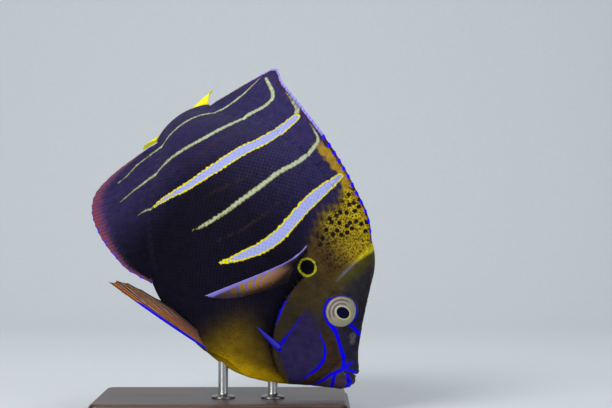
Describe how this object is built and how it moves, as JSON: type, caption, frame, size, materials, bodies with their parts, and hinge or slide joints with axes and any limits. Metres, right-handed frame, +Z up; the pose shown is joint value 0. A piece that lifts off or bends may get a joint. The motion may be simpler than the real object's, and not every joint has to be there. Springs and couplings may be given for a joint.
{
  "type": "goldtail angelfish",
  "caption": "Life-size still model of a goldtail angelfish, nose down and turning, with spread fins, on a flat base with short rods.",
  "frame": {"origin": "on the floor, under the middle of the model's box", "axes": "+Z up; the fish's head points to +X and down, its right side faces -Y, and its tail bends to +Y"},
  "size_m": [0.1483, 0.1345, 0.178],
  "materials": {
    "dark_skin": "painted cast resin, satin varnish",
    "face_skin": "painted cast resin, satin varnish",
    "dark_fin": "painted thin resin with raised rays",
    "yellow_fin": "painted thin resin with raised rays",
    "violet_fin": "painted thin resin with raised rays",
    "brown_fin": "painted thin resin with raised rays",
    "blue_spine": "painted cast resin",
    "eye": "polished eye with a painted iris",
    "stained_wood": "dark stained hardwood, oiled",
    "brushed_rod": "brushed stainless steel"
  },
  "bodies": {
    "root": {"head": "face_skin", "trunk": "dark_skin", "tail_stalk": "dark_skin", "eye_left": "eye", "eye_right": "eye", "dorsal_fin": "dark_fin", "anal_fin": "dark_fin", "tail_fin": "yellow_fin", "pectoral_fin_left": "violet_fin", "pectoral_fin_right": "violet_fin", "pelvic_fin_left": "brown_fin", "pelvic_fin_right": "brown_fin", "cheek_spine_left": "blue_spine", "cheek_spine_right": "blue_spine", "stand_base": "stained_wood", "stand_rod_front": "brushed_rod", "stand_rod_rear": "brushed_rod"}
  },
  "joints": []
}
